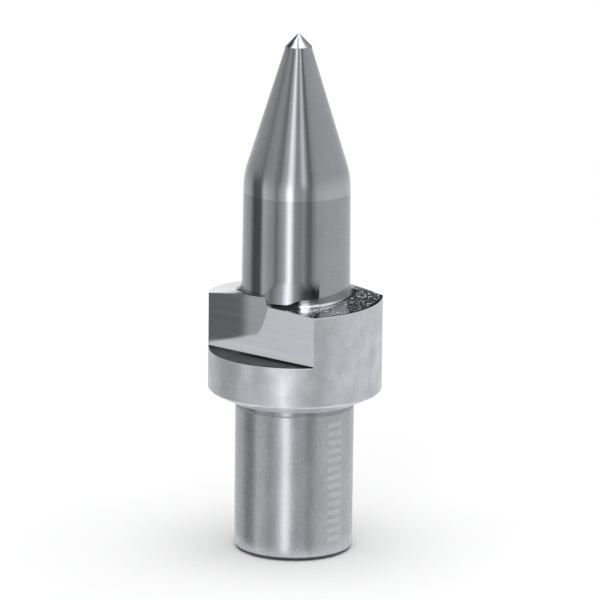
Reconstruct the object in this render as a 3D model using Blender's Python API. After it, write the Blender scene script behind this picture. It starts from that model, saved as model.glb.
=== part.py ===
"""Friction drill: a pointed four-lobed carbide tool with a notched cutting collar.

The tool is one solid blank of carbide, ground all over. It stands on the end of its shank, with
its axis on +Z and the origin at the centre of that end. Its surface is a turned profile whose
radius changes with the azimuth: the body has four very shallow lobes, and the collar has two
notches, half a turn apart, that leave two cutting lands on top. Azimuths are counted
counterclockwise from +X, seen from the point. The cutting edges lead counterclockwise.
"""
from math import acos, cos, pi, radians, sin, sqrt

import bmesh
import bpy

# Driving dimensions, in metres.
SHANK_RADIUS = 0.0050
SHANK_LENGTH = 0.0130
SHANK_CHAMFER = 0.0003
NECK_DEPTH = 0.0001
NECK_LENGTH = 0.00048
NECK_ROOT = 0.00014

# The collar's underside is a flat ring beside the neck, then a shallow cone up to the rim.
COLLAR_RADIUS = 0.0073
COLLAR_LENGTH = 0.00885
COLLAR_CHAMFER = 0.00015
SEAT_RADIUS = 0.0056
UNDERSIDE_RISE = 0.00078

BODY_RADIUS = 0.00454
BODY_LENGTH = 0.00885
BLEND_LENGTH = 0.0022
POINT_RADIUS = 0.00107
POINT_LENGTH = 0.00105
TOTAL_LENGTH = 0.04395

# Each notch has a flat wall, a level floor and a small round between the two.
NOTCH_WALL_OFFSET = 0.00456
NOTCH_DEPTH = 0.0046
NOTCH_ROUND = 0.00025
NOTCH_AZIMUTHS = (radians(230.65), radians(50.65))

# A land rises inwards and falls from its leading edge to its trailing edge. The two heights run
# into each other just past the middle of a notch, between the two angles of LAND_STEP.
LEAD_RISE = 0.19
TRAIL_RISE = 0.06
RIM_FALL = 0.00037
LAND_STEP = (radians(4.5), radians(9.0))

# Four lobes. LOBE_DEPTH is how much smaller the radius is half-way between two of them.
LOBE_COUNT = 4
FIRST_LOBE = radians(-93.0)
LOBE_DEPTH = 0.00006

# The round at the body's foot, and the shallow runout that a wheel leaves behind each trailing
# edge. It fades out clockwise and ends at a small step counterclockwise. RUNOUT_FLATNESS is 0
# for a cut as round as the body and 1 for a flat one.
FOOT_ROUND = 0.00050
FOOT_LEDGE = 0.00015
RUNOUT_AZIMUTHS = (radians(-93.0), radians(87.0))
RUNOUT_SPREAD = radians(28.4)
RUNOUT_EDGE = radians(1.0)
RUNOUT_DEPTH = 0.00023
RUNOUT_FLATNESS = 0.2
WHEEL_RADIUS = 0.0090

# Heights worked out from the lengths.
COLLAR_TOP = SHANK_LENGTH + COLLAR_LENGTH
NOTCH_FLOOR = COLLAR_TOP - NOTCH_DEPTH
BODY_TOP = COLLAR_TOP + BODY_LENGTH
CONE_TOP = TOTAL_LENGTH - POINT_LENGTH

# How finely the surface is divided.
AZIMUTH_STEPS = 72
ROUND_STEPS = 3
BLEND_STEPS = 4
RUNOUT_ROWS = 4


def turn_between(azimuth, middle):
    """The signed angle from middle to azimuth, between minus and plus half a turn."""
    return (azimuth - middle + pi) % (2.0 * pi) - pi


def nearest(azimuth, middles):
    """The smallest angle from azimuth to any of the middles."""
    return min(abs(turn_between(azimuth, middle)) for middle in middles)


def notch_half_angle():
    """Half the angle that a notch takes out of the collar's rim."""
    return acos(NOTCH_WALL_OFFSET / COLLAR_RADIUS)


def wall_radius(azimuth, offset):
    """The collar's radius above the notch floors: its rim, or the wall of a notch."""
    angle = nearest(azimuth, NOTCH_AZIMUTHS)
    if angle >= notch_half_angle():
        return COLLAR_RADIUS
    return min(COLLAR_RADIUS, offset / cos(angle))


def land_progress(azimuth):
    """0 on the leading edge of a land and 1 on its trailing edge."""
    land_angle = pi - 2.0 * notch_half_angle()
    progress = 0.0
    for middle in NOTCH_AZIMUTHS:
        ahead = turn_between(azimuth, middle)
        if abs(ahead) < notch_half_angle():
            part = (ahead - LAND_STEP[0]) / (LAND_STEP[1] - LAND_STEP[0])
            part = min(max(part, 0.0), 1.0)
            return part * part * (3.0 - 2.0 * part)
        if ahead < 0.0:
            progress = (-ahead - notch_half_angle()) / land_angle
    return min(max(progress, 0.0), 1.0)


def land_height(azimuth, radius):
    """The height of a land's ground top."""
    progress = land_progress(azimuth)
    rise = LEAD_RISE + (TRAIL_RISE - LEAD_RISE) * progress
    return COLLAR_TOP - RIM_FALL * progress + rise * (COLLAR_RADIUS - radius)


def lobe_factor(azimuth):
    """1 in the middle of a lobe, and least half-way between two lobes."""
    wave = 0.5 - 0.5 * cos(LOBE_COUNT * (azimuth - FIRST_LOBE))
    return 1.0 - LOBE_DEPTH / BODY_RADIUS * wave


def runout_radius(azimuth, height):
    """How far from the axis the wheel leaves material behind a trailing edge."""
    climb = max(0.0, height - COLLAR_TOP)
    reach = BODY_RADIUS - RUNOUT_DEPTH + climb ** 2 / (2.0 * WHEEL_RADIUS)
    for middle in RUNOUT_AZIMUTHS:
        ahead = turn_between(azimuth, middle)
        if -0.5 * pi < ahead < RUNOUT_SPREAD + 0.5 * RUNOUT_EDGE:
            return reach + RUNOUT_FLATNESS * BODY_RADIUS * (1.0 - cos(ahead))
    return COLLAR_RADIUS


def body_section(azimuth, height):
    """The radius of the lobed body, cut by the wheel near its foot."""
    return min(BODY_RADIUS * lobe_factor(azimuth), runout_radius(azimuth, height))


def shank_and_collar():
    """The profile from the middle of the shank's end up to the notch floors' level."""
    neck = SHANK_RADIUS - NECK_DEPTH
    neck_start = SHANK_LENGTH - NECK_LENGTH
    return [
        (0.0, 0.0),
        (SHANK_RADIUS - SHANK_CHAMFER, 0.0),
        (SHANK_RADIUS, SHANK_CHAMFER),
        (SHANK_RADIUS, neck_start - NECK_DEPTH),
        (neck, neck_start),
        (neck, SHANK_LENGTH - NECK_ROOT),
        (neck + NECK_ROOT, SHANK_LENGTH),
        (SEAT_RADIUS, SHANK_LENGTH),
        (COLLAR_RADIUS - COLLAR_CHAMFER, SHANK_LENGTH + UNDERSIDE_RISE),
        (COLLAR_RADIUS, SHANK_LENGTH + UNDERSIDE_RISE + COLLAR_CHAMFER),
        (COLLAR_RADIUS, NOTCH_FLOOR),
    ]


def notch_wall(azimuth):
    """The round at the notch floor. Away from the notches every point is on the rim."""
    points = []
    for step in range(ROUND_STEPS + 1):
        angle = 0.5 * pi * step / ROUND_STEPS
        offset = NOTCH_WALL_OFFSET + NOTCH_ROUND * (1.0 - sin(angle))
        height = NOTCH_FLOOR + NOTCH_ROUND * (1.0 - cos(angle))
        points.append((wall_radius(azimuth, offset), height))
    return points


def land_and_foot(azimuth):
    """The top of a land, from the rim or wall in to the round at the body's foot."""
    rim = wall_radius(azimuth, NOTCH_WALL_OFFSET)
    foot = min(BODY_RADIUS, runout_radius(azimuth, COLLAR_TOP))
    inner = foot + FOOT_ROUND
    radii = [rim, max(inner, (rim + inner) / 2.0)]
    radii += [foot + FOOT_ROUND * (1.0 - sin(0.5 * pi * step / ROUND_STEPS))
              for step in range(ROUND_STEPS + 1)]
    points = []
    for radius in radii:
        radius = min(radius, rim)
        height = land_height(azimuth, radius)
        reach = max(0.0, inner - radius)
        height += FOOT_ROUND - sqrt(max(0.0, FOOT_ROUND ** 2 - reach ** 2))
        points.append((radius, height))
    return points


def body_and_point(azimuth, foot_height):
    """The lobed body from its foot, the blend into the cone, and the point."""
    runout_top = COLLAR_TOP + sqrt(2.0 * WHEEL_RADIUS * RUNOUT_DEPTH)
    start = foot_height + FOOT_LEDGE
    heights = [start + (runout_top - start) * row / RUNOUT_ROWS for row in range(RUNOUT_ROWS + 1)]
    points = [(body_section(azimuth, height), height) for height in heights]

    factor = lobe_factor(azimuth)
    for step in range(BLEND_STEPS + 1):
        part = step / BLEND_STEPS
        crest = BODY_RADIUS - BLEND_LENGTH * cone_slope() * part ** 2 / 2.0
        points.append((crest * factor, BODY_TOP + BLEND_LENGTH * part))
    points.append((POINT_RADIUS * factor, CONE_TOP))
    points.append((0.0, TOTAL_LENGTH))
    return points


def cone_slope():
    """How fast the cone's radius falls with height, above the blend."""
    cone_length = CONE_TOP - BODY_TOP - BLEND_LENGTH / 2.0
    return (BODY_RADIUS - POINT_RADIUS) / cone_length


def profile(azimuth):
    """The whole profile at one azimuth, from the shank's end to the tip, as (radius, height)."""
    points = shank_and_collar() + notch_wall(azimuth) + land_and_foot(azimuth)
    return points + body_and_point(azimuth, points[-1][1])


def azimuths():
    """Every edge that runs up the tool, and even steps all round between the edges."""
    turns = []
    for middle in NOTCH_AZIMUTHS:
        turns += [middle - notch_half_angle(), middle + notch_half_angle()]
        turns += [middle + LAND_STEP[0] + (LAND_STEP[1] - LAND_STEP[0]) * step / BLEND_STEPS
                  for step in range(BLEND_STEPS + 1)]
    for middle in RUNOUT_AZIMUTHS:
        turns += [middle + RUNOUT_SPREAD, middle + RUNOUT_SPREAD + RUNOUT_EDGE]
    smallest_gap = radians(1.2)
    for step in range(AZIMUTH_STEPS):
        turn = 2.0 * pi * step / AZIMUTH_STEPS
        if nearest(turn, turns) > smallest_gap:
            turns.append(turn)
    return sorted(turn % (2.0 * pi) for turn in turns)


def carbide():
    """Ground tungsten carbide: a grey, fairly bright metal."""
    material = bpy.data.materials.new("ground_carbide")
    material.use_nodes = True
    shader = material.node_tree.nodes["Principled BSDF"]
    shader.inputs["Base Color"].default_value = (0.52, 0.53, 0.55, 1.0)
    shader.inputs["Metallic"].default_value = 1.0
    shader.inputs["Roughness"].default_value = 0.32
    return material


def build_drill():
    """Join the profiles round the axis into one closed body."""
    shape = bmesh.new()
    columns = []
    for azimuth in azimuths():
        column = [shape.verts.new((radius * cos(azimuth), radius * sin(azimuth), height))
                  for radius, height in profile(azimuth)]
        columns.append(column)
    for left, right in zip(columns, columns[1:] + columns[:1]):
        for row in range(len(left) - 1):
            shape.faces.new((left[row], right[row], right[row + 1], left[row + 1]))
    bmesh.ops.remove_doubles(shape, verts=shape.verts, dist=1e-7)
    bmesh.ops.dissolve_degenerate(shape, edges=shape.edges, dist=1e-7)
    mesh = bpy.data.meshes.new("friction_drill")
    shape.to_mesh(mesh)
    shape.free()
    mesh.shade_smooth()
    mesh.set_sharp_from_angle(angle=radians(25.0))
    mesh.materials.append(carbide())
    drill = bpy.data.objects.new("friction_drill", mesh)
    bpy.context.scene.collection.objects.link(drill)
    return drill


for old in list(bpy.data.objects):
    bpy.data.objects.remove(old)
build_drill()
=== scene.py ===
"""Looks of the friction drill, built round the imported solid.

The drill is one bar of carbide. A plain bar is divided finely, and one Geometry Nodes tree grinds
it to shape: shank, collar, two notches, lands, body, cone and point. Each ground zone then gets
its own finish. Lengths are in metres. Azimuths are in radians, counted counterclockwise from +X
as seen from the point.
"""

from math import acos, cos, pi, radians, sin, tan

import bpy
from mathutils import Matrix, Vector


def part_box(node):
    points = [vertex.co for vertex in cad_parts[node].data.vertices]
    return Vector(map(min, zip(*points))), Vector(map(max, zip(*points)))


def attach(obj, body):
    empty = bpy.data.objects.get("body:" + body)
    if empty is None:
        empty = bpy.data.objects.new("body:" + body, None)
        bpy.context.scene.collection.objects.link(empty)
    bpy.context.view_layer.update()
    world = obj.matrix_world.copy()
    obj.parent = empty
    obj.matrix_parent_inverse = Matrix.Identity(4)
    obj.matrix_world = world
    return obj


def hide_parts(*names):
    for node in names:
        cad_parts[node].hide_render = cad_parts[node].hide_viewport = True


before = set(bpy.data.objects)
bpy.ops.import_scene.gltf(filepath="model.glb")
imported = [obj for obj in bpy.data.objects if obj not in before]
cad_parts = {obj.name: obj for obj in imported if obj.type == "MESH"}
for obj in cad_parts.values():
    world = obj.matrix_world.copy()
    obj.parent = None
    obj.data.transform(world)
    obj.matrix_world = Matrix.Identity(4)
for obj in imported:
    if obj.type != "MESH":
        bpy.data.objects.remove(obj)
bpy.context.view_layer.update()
lowest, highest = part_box("friction_drill")

MM = 0.001
MICRON = 0.001 * MM

# The ground shape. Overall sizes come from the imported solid.
COLLAR_RADIUS = highest.x
TOTAL_LENGTH = highest.z
COLLAR_TOP = 21.85 * MM
NOTCH_FLOOR = 17.25 * MM
BODY_RADIUS = 4.54 * MM
BODY_TAPER = 0.0095
TAPER_START = 23.4 * MM
CONE_SLOPE = 0.3126
CONE_TOP = 42.9 * MM
POINT_RADIUS = 1.07 * MM
BLEND_REACH = 0.33 * MM
BLEND_BAND = (30.65 * MM, 32.9 * MM)
RUNOUT_TOP = 24.3 * MM

NOTCH_AZIMUTH = radians(50.65)
NOTCH_OFFSET = 4.56 * MM
NOTCH_ROUND = 0.12 * MM
HALF_NOTCH = acos(NOTCH_OFFSET / COLLAR_RADIUS)
LAND_STEP = (radians(4.5), radians(9.0))
RUNOUT_AZIMUTH = radians(87.0)
RUNOUT_SPREAD = radians(28.4)
RUNOUT_EDGE = radians(0.6)
FOOT_LEDGE = 0.15 * MM
EDGE = 0.03 * MM

# What the grinding tree needs to know. The lobe depth is a share of the body's radius, and the
# rises are slopes.
SIZES = {
    "Collar radius": COLLAR_RADIUS,
    "Collar top": COLLAR_TOP,
    "Notch azimuth": NOTCH_AZIMUTH,
    "Notch wall offset": NOTCH_OFFSET,
    "Notch corner round": EDGE,
    "Half notch angle": HALF_NOTCH,
    "Land step start": LAND_STEP[0],
    "Land step end": LAND_STEP[1],
    "Leading rise": 0.19,
    "Trailing rise": 0.06,
    "Rim fall": 0.37 * MM,
    "Lobes": 4.0,
    "First lobe azimuth": radians(-93.0),
    "Lobe depth": 0.06 * MM / BODY_RADIUS,
    "Runout azimuth": RUNOUT_AZIMUTH,
    "Runout spread": RUNOUT_SPREAD,
    "Runout edge": RUNOUT_EDGE,
    "Runout reach": BODY_RADIUS - 0.23 * MM,
    "Runout flatness": 0.2 * BODY_RADIUS,
    "Wheel radius": 9.0 * MM,
    "Foot round": 0.5 * MM,
}

# How finely the bar is divided.
AROUND = 480
NEAR_EDGE = (0.0, 0.09, 0.18, 0.3, 0.45)
CLEAR_OF_EDGE = radians(0.25)
EDGE_STEPS = 3
ROUND_STEPS = 6
RUNOUT_STEPS = 16

ZONES = ["shank_end", "shank_edge", "shank", "neck", "underside", "chamfer", "collar", "edge",
         "floor", "wall", "land", "foot", "body", "blend", "point"]

# A row where nothing is ground. See Row for what each value means.
PLAIN_ROW = {"cap": COLLAR_RADIUS, "low": 0.0, "relief": 0.0, "inset": 0.0, "share": 0.0,
             "ease": 0.0, "follow": 0.0, "climb": 0.0, "crown": BODY_RADIUS}
ROW_VALUES = ("height", *PLAIN_ROW)

# The etched bars on the shank.
MARK_AZIMUTHS = (radians(-56.0), radians(-37.5))
MARK_HEIGHTS = (1.3 * MM, 11.9 * MM)
MARK_PITCH = 0.76 * MM

# Directions that the finishes follow.
RIGHT = (1.0, 0.0, 0.0)
BACK = (0.0, 1.0, 0.0)
UP = (0.0, 0.0, 1.0)
ACROSS_WALL = (cos(NOTCH_AZIMUTH), sin(NOTCH_AZIMUTH), 0.0)
ALONG_WALL = (-sin(NOTCH_AZIMUTH), cos(NOTCH_AZIMUTH), 0.0)

# Brightness round the tool, by degrees from the camera (negative is to its left): one list for
# what low walls reflect and one for what the cone reflects.
LOW_STRIPS = [(-180, 0.85), (-160, 0.7), (-140, 0.54), (-120, 0.44), (-112, 0.28),
              (-105, 0.1), (-85.5, 0.11), (-82, 0.34), (-79.3, 0.58), (-73, 0.58),
              (-66, 0.46), (-55, 0.4), (-47, 0.22), (-40, 0.38), (-28, 0.6), (-21, 1.35),
              (-16, 2.0), (-11, 1.3), (-4, 0.42), (8, 0.33), (17, 0.4), (25, 0.22), (32, 0.17),
              (40, 0.35), (50, 0.5), (75, 0.55), (120, 0.57), (150, 0.64), (165, 0.75),
              (180, 0.8)]
HIGH_STRIPS = [(-180, 1.25), (-164, 1.0), (-145, 0.4), (-110, 0.43), (-98, 0.36), (-88, 0.28),
               (-78, 0.38), (-60, 0.42), (-50, 0.3), (-41, 0.24), (-32, 0.5), (-24, 0.66),
               (-20, 1.2), (-15, 1.55), (-9, 1.1), (-2, 0.38), (8, 0.42), (13, 0.8),
               (17, 0.95), (22, 0.6), (27, 0.26), (34, 0.18), (42, 0.4), (54, 0.48),
               (100, 0.53), (140, 0.54), (160, 0.62), (180, 0.8)]
BRIGHTEST = 2.5

# Brightness overhead, from below, on the dark flags, and behind the tool.
OVERHEAD = 2.3
UNDER = 1.1
FLAG = 0.06
BACKDROP = 1.0

# The studio's floor, and the disc of it that is mirrored.
FLOOR_REACH = 4.0
FLOOR_GAP = 0.01 * MM
PATCH_REACH = 7.5 * MM
PATCH_LIFT = 0.002 * MM
PATCH_SIDES = 64


# ---------------------------------------------------------------- camera

def set_camera():
    """A long lens in front of the tool, looking a little down on it."""
    camera = bpy.data.objects.new("camera", bpy.data.cameras.new("camera"))
    bpy.context.scene.collection.objects.link(camera)
    camera.data.sensor_width = 36.0
    camera.data.lens = 249.5
    camera.data.clip_start = 0.02
    camera.data.clip_end = 20.0
    place = Vector((0.0, -338.56, 102.76)) * MM
    aim = Vector((0.355, 0.0, 21.34)) * MM
    turn = (aim - place).to_track_quat("-Z", "Y").to_matrix()
    roll = Matrix.Rotation(radians(0.66), 3, "Z")
    camera.matrix_world = Matrix.Translation(place) @ (turn @ roll).to_4x4()
    bpy.context.scene.camera = camera


# ---------------------------------------------------------------- the bar, divided into rows

class Row:
    """One row of the bar: what the grinding does to it, and the finish of the band above it.

    cap and low hold the radius between two limits, and relief and inset move the notch wall out
    and the outer limit in. share is how far the row has come from the outer limit to the body,
    and ease how far out it stands on the round at the body's foot. follow says how much the row
    rises and falls with the lands, and climb is 1 on the body. crown is the body's radius there.
    """

    def __init__(self, height, finish, **changes):
        self.values = {"height": height, **PLAIN_ROW, **changes}
        self.finish = finish


def crest(height):
    """The turned radius of the body and cone, with a soft blend between the two."""
    body = BODY_RADIUS - BODY_TAPER * max(0.0, height - TAPER_START)
    cone = POINT_RADIUS + CONE_SLOPE * (CONE_TOP - height)
    near = max(BLEND_REACH - abs(body - cone), 0.0) / BLEND_REACH
    return min(body, cone) - near * near * BLEND_REACH / 4.0


def quarter_turn(steps, first=0):
    """Equal angles up to a right angle, for the rows of a round."""
    return [0.5 * pi * step / steps for step in range(first, steps + 1)]


def turned(points, finish):
    """Rows that stay round all the way, from (radius, height) in millimetres."""
    return [Row(height * MM, finish, cap=radius * MM, low=radius * MM)
            for radius, height in points]


def shank_rows():
    """The shank's end and its chamfer, its side, and the relief neck under the collar."""
    end = turned([(0.0, 0.0), (2.5, 0.0), (4.55, 0.0), (4.66, 0.0)], "shank_end")
    chamfer = turned([(4.695, 0.006), (4.73, 0.03), (4.965, 0.265), (4.993, 0.3)], "shank_edge")
    side = turned([(5.0, 0.34), (5.0, 0.5), (5.0, 3.0), (5.0, 6.0), (5.0, 9.0), (5.0, 12.0),
                   (5.0, 12.38)], "shank")
    neck = turned([(4.992, 12.42), (4.91, 12.51), (4.9, 12.55), (4.9, 12.7), (4.9, 12.86),
                   (4.907, 12.9), (4.94, 12.965), (5.0, 12.993)], "neck")
    return end + chamfer + side + neck


def collar_rows():
    """The collar's underside and chamfer, and its rim up to the notch floors."""
    rim = COLLAR_RADIUS / MM
    under = turned([(5.04, 13.0), (5.15, 13.0), (5.5, 13.0), (5.57, 13.003), (5.63, 13.018),
                    (5.7, 13.05), (6.2, 13.3), (6.7, 13.552), (7.08, 13.745)], "underside")
    chamfer = turned([(7.13, 13.772), (7.18, 13.81), (rim - 0.03, 13.9),
                      (rim - 0.006, 13.93)], "chamfer")
    side = turned([(rim, 13.98), (rim, 14.1), (rim, 14.9), (rim, 15.7), (rim, 16.5),
                   (rim, 17.05), (rim, 17.16)], "collar")
    return under + chamfer + side


def floor_rows():
    """The rounded outer edge of the notch floors, then the floors in to their walls."""
    edge = [Row(NOTCH_FLOOR - EDGE * (1.0 - sin(turn)), "edge", relief=NOTCH_ROUND,
                low=COLLAR_RADIUS - EDGE * (1.0 - cos(turn)))
            for turn in quarter_turn(EDGE_STEPS)]
    edge[-1].finish = "floor"
    return edge + [Row(NOTCH_FLOOR, "floor", relief=NOTCH_ROUND, low=COLLAR_RADIUS - inset * MM)
                   for inset in (0.07, 0.2, 0.6, 1.0, 1.4, 1.8, 2.2, 2.5, 2.6, 2.62)]


def wall_rows():
    """The round at the foot of a notch wall, then the wall up to the land's edge."""
    foot = [Row(NOTCH_FLOOR + NOTCH_ROUND * (1.0 - cos(turn)), "floor",
                relief=NOTCH_ROUND * (1.0 - sin(turn)))
            for turn in quarter_turn(ROUND_STEPS, 1)]
    foot[-1].finish = "wall"
    start = NOTCH_FLOOR + NOTCH_ROUND
    return foot + [Row(start + (COLLAR_TOP - EDGE - start) * part, "wall", follow=part)
                   for part in (0.03, 0.2, 0.4, 0.6, 0.8, 0.95, 0.985)]


def land_rows():
    """The rounded edge of a land, the land itself, and the round at the body's foot."""
    edge = [Row(COLLAR_TOP - EDGE * (1.0 - sin(turn)), "edge", follow=1.0,
                inset=EDGE * (1.0 - cos(turn)))
            for turn in quarter_turn(EDGE_STEPS)]
    edge[-1].finish = "land"
    land = [Row(COLLAR_TOP, "land", inset=EDGE, share=share, ease=1.0, follow=1.0)
            for share in (0.03, 0.2, 0.4, 0.6, 0.8, 0.95, 1.0)]
    land[-1].finish = "foot"
    return edge + land + [Row(COLLAR_TOP, "foot", inset=EDGE, share=1.0, ease=1.0 - sin(turn),
                              follow=1.0) for turn in quarter_turn(ROUND_STEPS, 1)]


def body_row(height, crown, finish, follow=0.0):
    return Row(height, finish, inset=EDGE, share=1.0, climb=1.0, crown=crown, follow=follow)


def body_rows():
    """The body from its foot up past the runouts, then the blend and the cone."""
    rows = []
    start = COLLAR_TOP + FOOT_LEDGE
    for step in range(RUNOUT_STEPS + 1):
        part = step / RUNOUT_STEPS
        height = start + (RUNOUT_TOP - start) * part
        rows.append(body_row(height, crest(height), "body", follow=1.0 - part))
    blend = [30.7 + 0.15 * step for step in range(18)]
    for height in [24.6, 26.0, 28.0, 29.4, 30.2, 30.6, *blend,
                   33.6, 34.2, 35.5, 37.0, 38.5, 40.0, 41.2, 42.1, 42.5, 42.72]:
        height *= MM
        in_band = BLEND_BAND[0] < height < BLEND_BAND[1]
        rows.append(body_row(height, crest(height), "blend" if in_band else "body"))
    return rows


def point_rows():
    """The small steep point, with a blunt tip, from (depth below the tip, radius)."""
    return [body_row(TOTAL_LENGTH - below * MM, radius * MM, "point") for below, radius in
            [(1.08, 1.128), (1.05, 1.098), (1.025, 1.07), (0.99, 1.035), (0.9, 0.945),
             (0.6, 0.655), (0.3, 0.365), (0.13, 0.196), (0.075, 0.14), (0.04, 0.102),
             (0.018, 0.07), (0.004, 0.035), (0.0, 0.0)]]


def close_azimuths():
    """Columns close together beside every edge that runs up the tool."""
    close = []
    for half_turn in (0.0, pi):
        for side in (-1.0, 1.0):
            corner = NOTCH_AZIMUTH + half_turn + side * HALF_NOTCH
            for reach in NEAR_EDGE:
                close += [corner - radians(reach), corner + radians(reach)]
        edge = RUNOUT_AZIMUTH + half_turn + RUNOUT_SPREAD
        close += [edge + part * RUNOUT_EDGE for part in (-0.5, 0.0, 0.2, 0.4, 0.6, 0.8, 1.0, 1.5)]
        step_start = NOTCH_AZIMUTH + half_turn + LAND_STEP[0]
        close += [step_start + radians(0.3 * step) for step in range(-1, 18)]
    return sorted({round(turn % (2.0 * pi), 9) for turn in close})


def column_azimuths():
    """The close columns, and even steps all round where they leave room."""
    close = close_azimuths()
    turns = list(close)
    for step in range(AROUND):
        turn = 2.0 * pi * (step + 0.5) / AROUND
        gap = min(abs((turn - near + pi) % (2.0 * pi) - pi) for near in close)
        if gap > CLEAR_OF_EDGE:
            turns.append(turn)
    return sorted(turns)


def make_bar(rows):
    """The uncut bar: one skin whose rows carry what the grinding needs to know."""
    turns = column_azimuths()
    count = len(turns)
    ring = [(COLLAR_RADIUS * cos(turn), COLLAR_RADIUS * sin(turn)) for turn in turns]
    points = [(x, y, row.values["height"]) for row in rows for x, y in ring]
    faces = []
    for low in range(len(rows) - 1):
        for left in range(count):
            right = (left + 1) % count
            faces.append((low * count + left, low * count + right,
                          (low + 1) * count + right, (low + 1) * count + left))
    mesh = bpy.data.meshes.new("bar")
    mesh.from_pydata(points, [], faces)
    for name in ROW_VALUES:
        layer = mesh.attributes.new(name, "FLOAT", "POINT")
        layer.data.foreach_set("value", [row.values[name] for row in rows
                                         for _ in range(count)])
    zone = mesh.attributes.new("zone", "INT", "FACE")
    zone.data.foreach_set("value", [ZONES.index(row.finish) for row in rows[:-1]
                                    for _ in range(count)])
    bar = bpy.data.objects.new("friction_drill_surface", mesh)
    bpy.context.scene.collection.objects.link(bar)
    return bar


# ---------------------------------------------------------------- sums in a node tree

class Nodes:
    """A short way to write sums in any node tree."""

    def __init__(self, tree):
        self.nodes, self.links = tree.nodes, tree.links

    def join(self, value, socket):
        """Link a value that comes from a node, or set one that doesn't."""
        if isinstance(value, (int, float, tuple)):
            socket.default_value = value
        else:
            self.links.new(value, socket)

    def sum(self, operation, *values):
        node = self.nodes.new("ShaderNodeMath")
        node.operation = operation
        for value, socket in zip(values, node.inputs):
            self.join(value, socket)
        return node.outputs[0]

    def add(self, first, second):
        return self.sum("ADD", first, second)

    def take(self, first, second):
        """first less second"""
        return self.sum("SUBTRACT", first, second)

    def times(self, first, second):
        return self.sum("MULTIPLY", first, second)

    def times_add(self, first, second, third):
        """first times second, and third added to it"""
        return self.sum("MULTIPLY_ADD", first, second, third)

    def absolute(self, value):
        return self.sum("ABSOLUTE", value)

    def azimuth_from(self, turn, middle):
        """The azimuth from middle, or from half a turn past it when that is nearer."""
        return self.sum("WRAP", self.take(turn, middle), 0.5 * pi, -0.5 * pi)

    def step(self, value, low, high, first=0.0, second=1.0):
        """first below low and second above high, with a soft step between."""
        node = self.nodes.new("ShaderNodeMapRange")
        node.interpolation_type = "SMOOTHSTEP"
        for part, socket in zip((value, low, high, first, second), node.inputs):
            self.join(part, socket)
        return node.outputs[0]

    def mix_colours(self, part, first, second):
        node = self.nodes.new("ShaderNodeMix")
        node.data_type = "RGBA"
        self.join(part, node.inputs["Factor"])
        self.join(first, node.inputs[6])
        self.join(second, node.inputs[7])
        return node.outputs[2]

    def three(self, *values):
        """Three numbers as one vector."""
        node = self.nodes.new("ShaderNodeCombineXYZ")
        for value, socket in zip(values, node.inputs):
            self.join(value, socket)
        return node.outputs[0]

    def vector_sum(self, operation, *values):
        node = self.nodes.new("ShaderNodeVectorMath")
        node.operation = operation
        for value, socket in zip(values, node.inputs):
            self.join(value, socket)
        return node


# ---------------------------------------------------------------- the grinding tree

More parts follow.
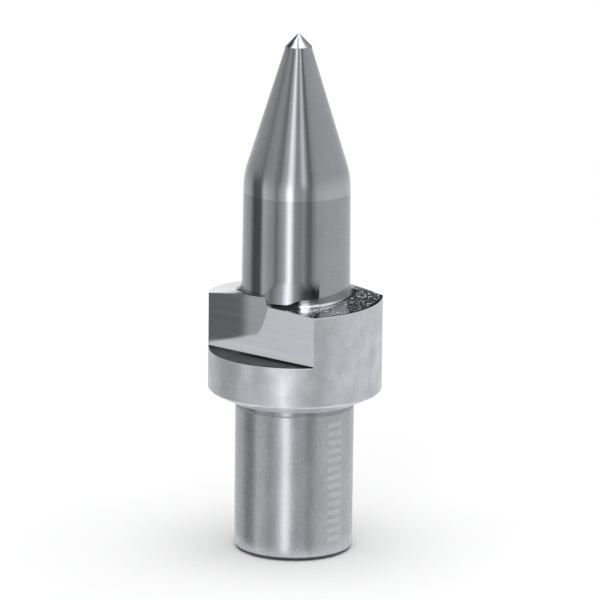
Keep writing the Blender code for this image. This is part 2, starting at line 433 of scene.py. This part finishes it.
class Grinding(Nodes):
    """The Geometry Nodes tree that grinds the bar. Its sizes are named inputs."""

    def __init__(self, name):
        self.group = bpy.data.node_groups.new(name, "GeometryNodeTree")
        super().__init__(self.group)
        sockets = self.group.interface
        sockets.new_socket("Bar", in_out="INPUT", socket_type="NodeSocketGeometry")
        sockets.new_socket("Drill", in_out="OUTPUT", socket_type="NodeSocketGeometry")
        self.values = {}
        for size, value in SIZES.items():
            socket = sockets.new_socket(size, in_out="INPUT", socket_type="NodeSocketFloat")
            self.values[socket.identifier] = value
        self.size = self.nodes.new("NodeGroupInput").outputs
        self.row = {value: self.attribute(value, "FLOAT") for value in ROW_VALUES}
        parts = self.nodes.new("ShaderNodeSeparateXYZ")
        self.join(self.position(), parts.inputs[0])
        self.azimuth = self.sum("ARCTAN2", parts.outputs[1], parts.outputs[0])
        self.from_notch = self.azimuth_from(self.azimuth, self.size["Notch azimuth"])

    def attribute(self, name, kind):
        node = self.nodes.new("GeometryNodeInputNamedAttribute")
        node.data_type = kind
        node.inputs["Name"].default_value = name
        return node.outputs["Attribute"]

    def position(self):
        return self.nodes.new("GeometryNodeInputPosition").outputs[0]

    def least(self, first, second):
        return self.sum("MINIMUM", first, second)

    def most(self, first, second):
        return self.sum("MAXIMUM", first, second)

    def between(self, part, first, second):
        """first when part is 0 and second when it is 1."""
        return self.times_add(part, self.take(second, first), first)

    def outer_limit(self):
        """The largest radius: the collar's rim, or the wall of the nearer notch."""
        wall = self.sum("DIVIDE", self.add(self.size["Notch wall offset"], self.row["relief"]),
                        self.most(self.sum("COSINE", self.from_notch), 0.05))
        inset = self.times(self.row["inset"], self.step(self.absolute(self.from_notch),
                                                        radians(14.0), radians(24.0), 0.1, 1.0))
        rim = self.sum("SMOOTH_MIN", self.size["Collar radius"], wall,
                       self.size["Notch corner round"])
        capped = self.take(self.least(self.row["cap"], rim), inset)
        return self.add(self.most(self.row["low"], capped),
                        self.times(self.row["climb"], 2.0 * MM))

    def slope_lands(self):
        """The lands fall from the leading to the trailing edge and rise inwards."""
        half = self.size["Half notch angle"]
        side = self.step(self.from_notch, self.size["Land step start"],
                         self.size["Land step end"], -1.0, 1.0)
        past = self.sum("DIVIDE", self.most(self.take(self.absolute(self.from_notch), half), 0.0),
                        self.take(pi, self.times(half, 2.0)))
        progress = self.add(self.times(side, self.take(0.5, past)), 0.5)
        self.rise = self.between(progress, self.size["Leading rise"], self.size["Trailing rise"])
        self.fall = self.times(self.size["Rim fall"], progress)

    def land_top(self, radius):
        """How far above the collar's top a land is at a radius."""
        inward = self.take(self.size["Collar radius"], radius)
        return self.take(self.times(self.rise, inward), self.fall)

    def foot_round(self):
        """The round at the body's foot, smaller beside a notch."""
        return self.times(self.size["Foot round"],
                          self.step(self.absolute(self.from_notch), radians(28.0),
                                    radians(46.0), 0.2, 1.0))

    def lobed_body(self):
        """The body's radius with its shallow lobes."""
        wave = self.sum("COSINE", self.times(self.size["Lobes"],
                                             self.take(self.azimuth,
                                                       self.size["First lobe azimuth"])))
        depth = self.times(self.size["Lobe depth"], self.take(0.5, self.times(wave, 0.5)))
        return self.times(self.row["crown"], self.take(1.0, depth))

    def cut_body(self, round_size):
        """The body's radius where the wheel's runout cuts it back near its foot."""
        lobed = self.lobed_body()
        turn = self.azimuth_from(self.azimuth, self.size["Runout azimuth"])
        inside = self.step(turn, self.size["Runout spread"],
                           self.add(self.size["Runout spread"], self.size["Runout edge"]),
                           1.0, 0.0)
        reach = self.add(self.size["Runout reach"],
                         self.times(self.size["Runout flatness"],
                                    self.take(1.0, self.sum("COSINE", turn))))
        at_foot = self.between(inside, lobed, self.least(lobed, reach))
        start = self.add(self.row["height"],
                         self.times(self.row["follow"],
                                    self.add(self.land_top(at_foot), round_size)))
        risen = self.times(self.row["climb"],
                           self.most(self.take(start, self.size["Collar top"]), 0.0))
        eased = self.sum("DIVIDE", self.times(risen, risen),
                         self.times(self.size["Wheel radius"], 2.0))
        return self.between(inside, lobed, self.least(lobed, self.add(reach, eased)))

    def ground_place(self):
        """Where grinding leaves a point of the bar."""
        outer = self.outer_limit()
        self.slope_lands()
        round_size = self.foot_round()
        foot = self.cut_body(round_size)
        inner = self.add(foot, self.times(round_size, self.row["ease"]))
        radius = self.least(outer, self.between(self.row["share"], outer, inner))
        reach = self.most(self.take(self.add(foot, round_size), radius), 0.0)
        square = self.take(self.times(round_size, round_size), self.times(reach, reach))
        lift = self.take(round_size, self.sum("SQRT", self.most(square, 0.0)))
        top = self.add(self.land_top(radius), lift)
        return self.three(self.times(radius, self.sum("COSINE", self.azimuth)),
                          self.times(radius, self.sum("SINE", self.azimuth)),
                          self.add(self.row["height"], self.times(self.row["follow"], top)))

    def inside_rim(self):
        """1 inside the collar's rim, where walls, floors and edges are really cut."""
        flat = self.vector_sum("MULTIPLY", self.position(), (1.0, 1.0, 0.0)).outputs[0]
        radius = self.vector_sum("LENGTH", flat).outputs["Value"]
        return self.sum("LESS_THAN", radius, COLLAR_RADIUS - 0.02 * MM)


def grinding_tree(finishes):
    """The whole tree: move the bar's points, close its ends, and set the finish of each zone."""
    tree = Grinding("grind_drill")
    move = tree.nodes.new("GeometryNodeSetPosition")
    tree.join(tree.size["Bar"], move.inputs["Geometry"])
    tree.join(tree.ground_place(), move.inputs["Position"])
    merge = tree.nodes.new("GeometryNodeMergeByDistance")
    merge.inputs["Distance"].default_value = 0.2 * MICRON
    tree.join(move.outputs[0], merge.inputs["Geometry"])
    real = tree.nodes.new("GeometryNodeRealizeInstances")
    tree.join(merge.outputs[0], real.inputs["Geometry"])
    finished = finish_zones(tree, real.outputs[0], finishes)
    tree.join(finished, tree.nodes.new("NodeGroupOutput").inputs["Drill"])
    return tree


def finish_zones(tree, geometry, finishes):
    """Set the finish of each zone. Where a wall or floor band lies on the rim, it is collar."""
    zone = tree.attribute("zone", "INT")
    inside = tree.inside_rim()
    for name, material in finishes.items():
        paint = tree.nodes.new("GeometryNodeSetMaterial")
        paint.inputs["Material"].default_value = material
        tree.join(geometry, paint.inputs["Geometry"])
        geometry = paint.outputs[0]
        if name == "collar":
            continue
        chosen = tree.sum("COMPARE", zone, float(ZONES.index(name)), 0.1)
        if name in ("floor", "wall", "edge"):
            chosen = tree.times(chosen, inside)
        tree.join(chosen, paint.inputs["Selection"])
    return geometry


def grind(bar, tree):
    """Run the tree on the bar and keep the result as a plain mesh."""
    modifier = bar.modifiers.new("grind", "NODES")
    modifier.node_group = tree.group
    for identifier, value in tree.values.items():
        modifier[identifier] = value
    view = bpy.context.evaluated_depsgraph_get()
    mesh = bpy.data.meshes.new_from_object(bar.evaluated_get(view))
    bar.modifiers.remove(modifier)
    bar.data = mesh
    mesh.name = "friction_drill_surface"
    for name in ROW_VALUES:
        if name in mesh.attributes:
            mesh.attributes.remove(mesh.attributes[name])
    mesh.shade_smooth()
    return bar


# ---------------------------------------------------------------- finishes

class Finish(Nodes):
    """A short way to write a metal's nodes."""

    def __init__(self, name, metal=1.0):
        self.material = bpy.data.materials.new(name)
        self.material.use_nodes = True
        super().__init__(self.material.node_tree)
        self.shader = self.nodes["Principled BSDF"]
        self.shader.inputs["Metallic"].default_value = metal
        self.place = self.nodes.new("ShaderNodeTexCoord").outputs["Object"]

    def noise(self, scale, detail=2.0, roughness=0.5, place=None):
        """Noise with its own scale along each axis, in waves per metre."""
        fit = self.nodes.new("ShaderNodeMapping")
        fit.inputs["Scale"].default_value = scale
        self.join(place or self.place, fit.inputs["Vector"])
        node = self.nodes.new("ShaderNodeTexNoise")
        node.inputs["Scale"].default_value = 1.0
        node.inputs["Detail"].default_value = detail
        node.inputs["Roughness"].default_value = roughness
        self.join(fit.outputs[0], node.inputs["Vector"])
        return node.outputs[0]

    def along(self, direction):
        """How far a point lies along a direction."""
        return self.vector_sum("DOT_PRODUCT", self.place, direction).outputs["Value"]

    def azimuth(self):
        return self.sum("ARCTAN2", self.along(BACK), self.along(RIGHT))

    def turn_from(self, middle):
        return self.azimuth_from(self.azimuth(), middle)

    def wall_place(self):
        """The place as seen from a notch wall: across it, along it, and up."""
        return self.three(self.along(ACROSS_WALL), self.along(ALONG_WALL), self.along(UP))

    def wall_side(self):
        """1 on the half of the tool with the first notch and -1 on the other."""
        return self.sum("SIGN", self.along(ACROSS_WALL))

    def along_wall(self):
        """How far along the nearer notch wall a point lies, towards a trailing edge."""
        return self.times(self.wall_side(), self.along(ALONG_WALL))

    def leaned(self, amount, upward):
        """The surface's own direction, leaned towards a land's leading edge and upward."""
        lean = self.three(self.times(amount, sin(NOTCH_AZIMUTH)),
                          self.times(amount, -cos(NOTCH_AZIMUTH)), upward)
        own = self.nodes.new("ShaderNodeNewGeometry").outputs["Normal"]
        total = self.vector_sum("ADD", own, lean).outputs[0]
        return self.vector_sum("NORMALIZE", total).outputs[0]

    def shades(self, amount, low, high, dark, light):
        """A metal colour between two levels, by an amount that runs from low to high."""
        return self.mix_colours(self.step(amount, low, high), steel(dark), steel(light))

    def colour(self, value):
        self.join(value, self.shader.inputs["Base Color"])

    def roughness(self, amount, smooth, rough):
        self.join(self.step(amount, 0.0, 1.0, smooth, rough), self.shader.inputs["Roughness"])

    def relief(self, height, depth, normal=None):
        node = self.nodes.new("ShaderNodeBump")
        node.inputs["Strength"].default_value = 1.0
        node.inputs["Distance"].default_value = depth
        self.join(height, node.inputs["Height"])
        if normal:
            self.join(normal, node.inputs["Normal"])
        self.join(node.outputs[0], self.shader.inputs["Normal"])

    def grain(self, amount):
        """Grinding lines that run round the axis, so that reflections smear up and down."""
        self.shader.inputs["Anisotropic"].default_value = amount
        self.shader.inputs["Anisotropic Rotation"].default_value = 0.25
        tangent = self.nodes.new("ShaderNodeTangent")
        tangent.direction_type = "RADIAL"
        tangent.axis = "Z"
        self.join(tangent.outputs[0], self.shader.inputs["Tangent"])


def steel(level):
    """A neutral metal colour with a slight cool cast."""
    return (level * 0.965, level, level * 1.045, 1.0)


def runout_shade(finish):
    """Painted shade inside a runout, stronger towards its step and its foot."""
    turn = finish.turn_from(RUNOUT_AZIMUTH)
    shaded_part = finish.times(finish.step(turn, radians(2.0), radians(14.0)),
                         finish.step(turn, RUNOUT_SPREAD, RUNOUT_SPREAD + RUNOUT_EDGE, 1.0, 0.0))
    return finish.times(shaded_part, finish.step(finish.along(UP), 22.9 * MM, 24.2 * MM, 0.85, 0.0))


def polished_body(name, level, band=False):
    """Ground while it turns, then polished: hardly visible lines and a few short scratches.
    The runouts carry painted shade, darker towards their step. The band starts lighter and fades
    upwards."""
    finish = Finish(name)
    fine = finish.noise((200.0, 200.0, 8000.0), 3.0, 0.6)
    cloud = finish.noise((300.0, 300.0, 220.0), 3.0)
    mark = finish.noise((1500.0, 1500.0, 9000.0), 1.0)
    scratch = finish.step(mark, 0.70, 0.74, 0.0, 0.5)
    shade = finish.add(finish.times_add(cloud, 0.6, finish.times(fine, 0.4)), scratch)
    bare = finish.shades(shade, 0.3, 1.0, level * 0.92, level * 1.09)
    if band:
        light = finish.step(finish.along(UP), 31.0 * MM, BLEND_BAND[1], 1.0, 0.0)
        bare = finish.mix_colours(light, bare, steel(level * 1.22))
    # Painted shade darkens the runouts towards near black.
    finish.colour(finish.mix_colours(runout_shade(finish), bare, steel(0.03)))
    finish.roughness(shade, 0.1, 0.2)
    finish.relief(finish.add(fine, scratch), 0.12 * MICRON)
    finish.grain(0.6)
    return finish.material


def small_point():
    """The point: a thin dull ridge up each of its four sides."""
    finish = Finish("small_point")
    turn = finish.sum("WRAP", finish.turn_from(radians(87.0)), 0.25 * pi, -0.25 * pi)
    ridge = finish.step(finish.absolute(turn), radians(3.0), radians(10.0), 0.8, 0.0)
    cloud = finish.noise((2500.0, 2500.0, 2500.0), 2.0)
    bare = finish.shades(cloud, 0.35, 0.65, 0.4, 0.56)
    finish.colour(finish.mix_colours(ridge, bare, steel(0.2)))
    finish.roughness(cloud, 0.14, 0.24)
    finish.relief(cloud, 1.5 * MICRON)
    return finish.material


def satin_collar(name, level):
    """The collar's rim: lighter, cloudy, with a fine grain."""
    finish = Finish(name, metal=0.78)
    fine = finish.noise((900.0, 900.0, 9000.0), 3.0, 0.6)
    grain = finish.noise((5200.0, 5200.0, 4200.0), 2.0)
    cloud = finish.noise((700.0, 700.0, 520.0), 4.0, 0.55)
    shade = finish.times_add(cloud, 0.8, finish.times(fine, 0.12))
    shade = finish.times_add(grain, 0.16, shade)
    finish.colour(finish.shades(shade, 0.32, 0.78, level * 0.84, min(level * 1.12, 0.94)))
    finish.roughness(shade, 0.46, 0.36)
    finish.relief(finish.add(grain, fine), 0.4 * MICRON)
    finish.grain(0.15)
    return finish.material


def pass_border(finish, along):
    """The height of the border between a notch wall's first and later passes."""
    bend = finish.sum("MAXIMUM", finish.add(along, 0.57 * MM), 0.0)
    curve = finish.times(finish.times(bend, bend), 1.17 / MM)
    return finish.add(curve, finish.times_add(along, 0.29, 19.25 * MM))


def wall_lean(finish):
    """How far a notch wall leans: the wheel cut it in three passes that meet softly."""
    along = finish.along_wall()
    above = finish.take(finish.along(UP), pass_border(finish, along))
    first = finish.times(finish.step(above, -0.2 * MM, 0.25 * MM),
                         finish.step(along, 0.75 * MM, 0.9 * MM, 1.0, 0.0))
    second = finish.step(along, -2.7 * MM, -0.9 * MM, 1.0, 0.0)
    lean = finish.times_add(second, tan(radians(1.9)), tan(radians(1.5)))
    return finish.times(finish.times(first, lean), finish.wall_side())


def ground_wall():
    """A notch wall: straight lines along the wheel's path, and a little lean at its foot."""
    finish = Finish("ground_notch_wall")
    fine = finish.noise((300.0, 200.0, 7500.0), 3.0, 0.6, finish.wall_place())
    broad = finish.noise((300.0, 120.0, 2600.0), 2.0, 0.5, finish.wall_place())
    shade = finish.times_add(broad, 0.7, finish.times(fine, 0.3))
    finish.colour(finish.shades(shade, 0.3, 0.75, 0.88, 0.945))
    finish.roughness(shade, 0.08, 0.14)
    foot = finish.step(finish.along(UP), NOTCH_FLOOR + 0.5 * MM, NOTCH_FLOOR + 1.1 * MM,
                       tan(radians(7.5)), 0.0)
    finish.relief(fine, 0.35 * MICRON, finish.leaned(wall_lean(finish), foot))
    finish.grain(0.5)
    return finish.material


def ground_floor():
    """A notch floor: dull, with painted shade in the corner beside the wall."""
    finish = Finish("ground_notch_floor")
    fine = finish.noise((9000.0, 300.0, 300.0), 3.0, 0.6, finish.wall_place())
    cloud = finish.noise((800.0, 800.0, 800.0), 3.0)
    shade = finish.times_add(cloud, 0.6, finish.times(fine, 0.4))
    bare = finish.shades(shade, 0.3, 0.75, 0.05, 0.17)
    from_wall = finish.take(finish.absolute(finish.along(ACROSS_WALL)), NOTCH_OFFSET)
    corner = finish.times(finish.step(from_wall, 0.25 * MM, 0.8 * MM, 1.0, 0.0),
                          finish.step(finish.along_wall(), -3.0 * MM, -0.5 * MM, 0.1, 1.0))
    # Painted shade in the corner beside the wall, fading along it.
    finish.colour(finish.mix_colours(corner, bare, steel(0.015)))
    finish.roughness(shade, 0.25, 0.4)
    finish.relief(fine, 0.3 * MICRON)
    return finish.material


def land_pits(finish):
    """1 in the sparse pits of a land, mostly on the right-hand one."""
    pits = finish.noise((4600.0, 4600.0, 4600.0), 2.0, 0.6)
    cloud = finish.noise((900.0, 900.0, 900.0), 2.0)
    pit = finish.times(finish.step(pits, 0.58, 0.65), finish.step(cloud, 0.36, 0.5, 0.3, 1.0))
    return finish.times(pit, finish.step(finish.along(RIGHT), -3.0 * MM, 3.0 * MM, 0.08, 1.0))


def rim_shade(finish):
    """A painted shade line inside the rim of the right-hand land."""
    x, y = finish.along(RIGHT), finish.along(BACK)
    radius = finish.sum("SQRT", finish.add(finish.times(x, x), finish.times(y, y)))
    return finish.times(finish.step(radius, COLLAR_RADIUS - 0.35 * MM,
                                    COLLAR_RADIUS - 0.15 * MM, 0.0, 0.9),
                        finish.step(x, -2.0 * MM, 2.0 * MM))


def rough_land():
    """A land's top: smooth, with sparse pits that catch the light, and painted shade along the
    right-hand land's rim.
    """
    finish = Finish("rough_land")
    marks = finish.noise((5200.0, 700.0, 700.0), 2.0, 0.5, finish.wall_place())
    pit = land_pits(finish)
    bare = finish.mix_colours(finish.times_add(marks, 0.5, finish.times(pit, 0.5)), steel(0.6),
                              steel(0.92))
    # Painted shade: a near-black line along the right-hand land's rim.
    finish.colour(finish.mix_colours(rim_shade(finish), bare, steel(0.03)))
    finish.join(finish.take(1.0, finish.times(pit, 0.75)), finish.shader.inputs["Metallic"])
    finish.roughness(marks, 0.1, 0.2)
    finish.relief(finish.times_add(marks, 0.03, pit), 16.0 * MICRON)
    return finish.material


def round_foot():
    """The round at the body's foot: painted shade before a runout and a painted highlight along
    it.
    """
    finish = Finish("round_foot")
    turn = finish.turn_from(RUNOUT_AZIMUTH)
    foot_shade = finish.times(finish.step(turn, radians(-30.0), radians(-22.0)),
                        finish.step(turn, radians(5.0), radians(9.0), 1.0, 0.0))
    shine = finish.times(finish.step(turn, radians(7.0), radians(10.0)),
                         finish.step(turn, radians(14.0), radians(20.0), 1.0, 0.0))
    speck = finish.noise((1500.0, 1500.0, 1500.0), 2.0)
    bare = finish.shades(speck, 0.35, 0.65, 0.28, 0.36)
    # Painted highlight along the runout, then painted shade before it.
    bright = finish.mix_colours(shine, bare, steel(0.94))
    finish.colour(finish.mix_colours(foot_shade, bright, steel(0.02)))
    finish.roughness(speck, 0.16, 0.24)
    return finish.material


def etched_bars(finish):
    """1 on a column of plain, equal bars etched up the shank."""
    turn, up = finish.azimuth(), finish.along(UP)
    left, right = MARK_AZIMUTHS
    soft = radians(0.8)
    across = finish.times(finish.step(turn, left, left + soft),
                          finish.step(turn, right - soft, right, 1.0, 0.0))
    within = finish.times(finish.sum("GREATER_THAN", up, MARK_HEIGHTS[0]),
                          finish.sum("LESS_THAN", up, MARK_HEIGHTS[1]))
    beat = finish.sum("PINGPONG", finish.take(up, MARK_HEIGHTS[0]), 0.5 * MARK_PITCH)
    bar = finish.step(beat, 0.2 * MARK_PITCH, 0.28 * MARK_PITCH)
    return finish.times(finish.times(across, within), bar)


def ground_shank(name, level):
    """The plain shank: duller, speckled and slightly streaked, with a faint etched mark."""
    finish = Finish(name, metal=0.8)
    speck = finish.noise((3800.0, 3800.0, 3000.0), 2.0, 0.6)
    streak = finish.noise((1500.0, 1500.0, 300.0), 3.0, 0.6)
    cloud = finish.noise((420.0, 420.0, 300.0), 3.0)
    shade = finish.times_add(streak, 0.4, finish.times(speck, 0.2))
    shade = finish.times_add(cloud, 0.4, shade)
    bare = finish.shades(shade, 0.3, 0.7, level * 0.9, level * 1.1)
    mark = etched_bars(finish)
    finish.colour(finish.mix_colours(finish.times(mark, 0.55), bare, steel(0.86)))
    finish.roughness(finish.times_add(mark, 0.4, shade), 0.22, 0.32)
    finish.relief(finish.times_add(mark, -1.0, shade), 0.3 * MICRON)
    finish.grain(0.25)
    return finish.material


def make_finishes():
    """A finish for each zone. The collar's comes first, because the others are set over it."""
    collar = satin_collar("satin_collar", 0.88)
    wall = ground_wall()
    return {"collar": collar,
            "shank_end": ground_shank("shank_end", 0.5),
            # The chamfer at the shank's end is darkened with painted shade.
            "shank_edge": ground_shank("dull_shank_edge", 0.2),
            "shank": ground_shank("ground_shank", 0.64),
            # The neck under the collar is darkened with painted shade.
            "neck": ground_shank("dull_neck", 0.52),
            "underside": satin_collar("satin_underside", 0.84),
            "chamfer": collar,
            "edge": wall,
            "floor": ground_floor(),
            "wall": wall,
            "land": rough_land(),
            "foot": round_foot(),
            "body": polished_body("polished_body", 0.57),
            "blend": polished_body("ground_blend", 0.57, band=True),
            "point": small_point()}


# ---------------------------------------------------------------- studio

def grey(brightness):
    """A studio colour. The world's strength brings it back to the brightness."""
    value = brightness / BRIGHTEST
    return (value, value, value, 1.0)


class Studio(Nodes):
    """The world's nodes, with azimuth from the camera (right is positive) and height."""

    def __init__(self, tree):
        super().__init__(tree)
        self.nodes.clear()
        parts = self.nodes.new("ShaderNodeSeparateXYZ")
        self.join(self.nodes.new("ShaderNodeTexCoord").outputs["Generated"], parts.inputs[0])
        self.turn = self.sum("ARCTAN2", parts.outputs[0], self.times(parts.outputs[1], -1.0))
        self.height = self.sum("ARCSINE", parts.outputs[2])

    def degrees(self, value, low, high):
        """0 below low and 1 above high. Given the other way round, they swap."""
        return self.step(value, radians(low), radians(high))

    def ring(self, stops):
        """One list of strips, laid round the tool."""
        node = self.nodes.new("ShaderNodeValToRGB")
        ramp = node.color_ramp
        ramp.interpolation = "EASE"
        while len(ramp.elements) < len(stops):
            ramp.elements.new(0.5)
        for element, (degrees, brightness) in zip(ramp.elements, stops):
            element.position = (degrees + 180.0) / 360.0
            element.color = grey(brightness)
        self.join(self.times_add(self.turn, 0.5 / pi, 0.5), node.inputs[0])
        return node.outputs[0]

    def flags(self):
        """1 on the dark flags: behind, lower at the right rear, and high at the left."""
        behind = self.times(self.degrees(self.absolute(self.turn), 140.0, 158.0),
                            self.degrees(self.height, 15.5, 19.5))
        right = self.times(self.degrees(self.turn, 140.0, 158.0),
                           self.degrees(self.height, 3.0, 8.0))
        left = self.times(self.times(self.degrees(self.turn, -148.0, -136.0),
                                     self.degrees(self.turn, -88.0, -100.0)),
                          self.degrees(self.height, 22.0, 30.0))
        return self.sum("MAXIMUM", self.sum("MAXIMUM", behind, right), left)


def light_world():
    """Soft strip lights round the tool, a broad light overhead, and white behind."""
    world = bpy.data.worlds.new("studio")
    bpy.context.scene.world = world
    world.use_nodes = True
    studio = Studio(world.node_tree)
    height = studio.height
    strips = studio.mix_colours(studio.degrees(height, -4.0, 12.0), studio.ring(LOW_STRIPS),
                                studio.ring(HIGH_STRIPS))
    flagged = studio.mix_colours(studio.flags(), strips, grey(FLAG))
    sky = studio.mix_colours(studio.degrees(height, 46.0, 62.0), flagged, grey(OVERHEAD))
    whole = studio.mix_colours(studio.degrees(height, -42.0, -60.0), sky, grey(UNDER))
    seen = studio.nodes.new("ShaderNodeLightPath").outputs["Is Camera Ray"]
    shine = studio.nodes.new("ShaderNodeBackground")
    shine.inputs["Strength"].default_value = BRIGHTEST
    studio.join(studio.mix_colours(seen, whole, grey(BACKDROP)), shine.inputs["Color"])
    out = studio.nodes.new("ShaderNodeOutputWorld")
    studio.join(shine.outputs[0], out.inputs["Surface"])


def pale_floor():
    material = bpy.data.materials.new("pale_floor")
    material.use_nodes = True
    shader = material.node_tree.nodes["Principled BSDF"]
    shader.inputs["Base Color"].default_value = (0.96, 0.96, 0.96, 1.0)
    shader.inputs["Roughness"].default_value = 1.0
    shader.inputs["Specular IOR Level"].default_value = 0.0
    return material


def lay_sheet(name, outline, level, material):
    """A flat piece of floor from its outline, as part of the studio."""
    mesh = bpy.data.meshes.new(name)
    mesh.from_pydata([(x, y, 0.0) for x, y in outline], [], [tuple(range(len(outline)))])
    mesh.materials.append(material)
    sheet = bpy.data.objects.new(name, mesh)
    bpy.context.scene.collection.objects.link(sheet)
    sheet.location.z = level
    return sheet


def lay_floor():
    """A wide, pale floor just under the shank's end. Polished faces don't mirror it, except for
    a small disc of it that the shank's edge can mirror."""
    material = pale_floor()
    level = lowest.z - FLOOR_GAP
    corners = [(-FLOOR_REACH, -FLOOR_REACH), (FLOOR_REACH, -FLOOR_REACH),
               (FLOOR_REACH, FLOOR_REACH), (-FLOOR_REACH, FLOOR_REACH)]
    floor = lay_sheet("studio_floor", corners, level, material)
    floor.visible_glossy = False
    circle = [(PATCH_REACH * cos(turn), PATCH_REACH * sin(turn))
              for turn in (2.0 * pi * step / PATCH_SIDES for step in range(PATCH_SIDES))]
    patch = lay_sheet("studio_floor_patch", circle, level + PATCH_LIFT, material)


bpy.context.scene.view_settings.view_transform = "Standard"
set_camera()
all_rows = (shank_rows() + collar_rows() + floor_rows() + wall_rows() + land_rows()
            + body_rows() + point_rows())
drill = grind(make_bar(all_rows), grinding_tree(make_finishes()))
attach(drill, "root")
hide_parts("friction_drill")
light_world()
lay_floor()
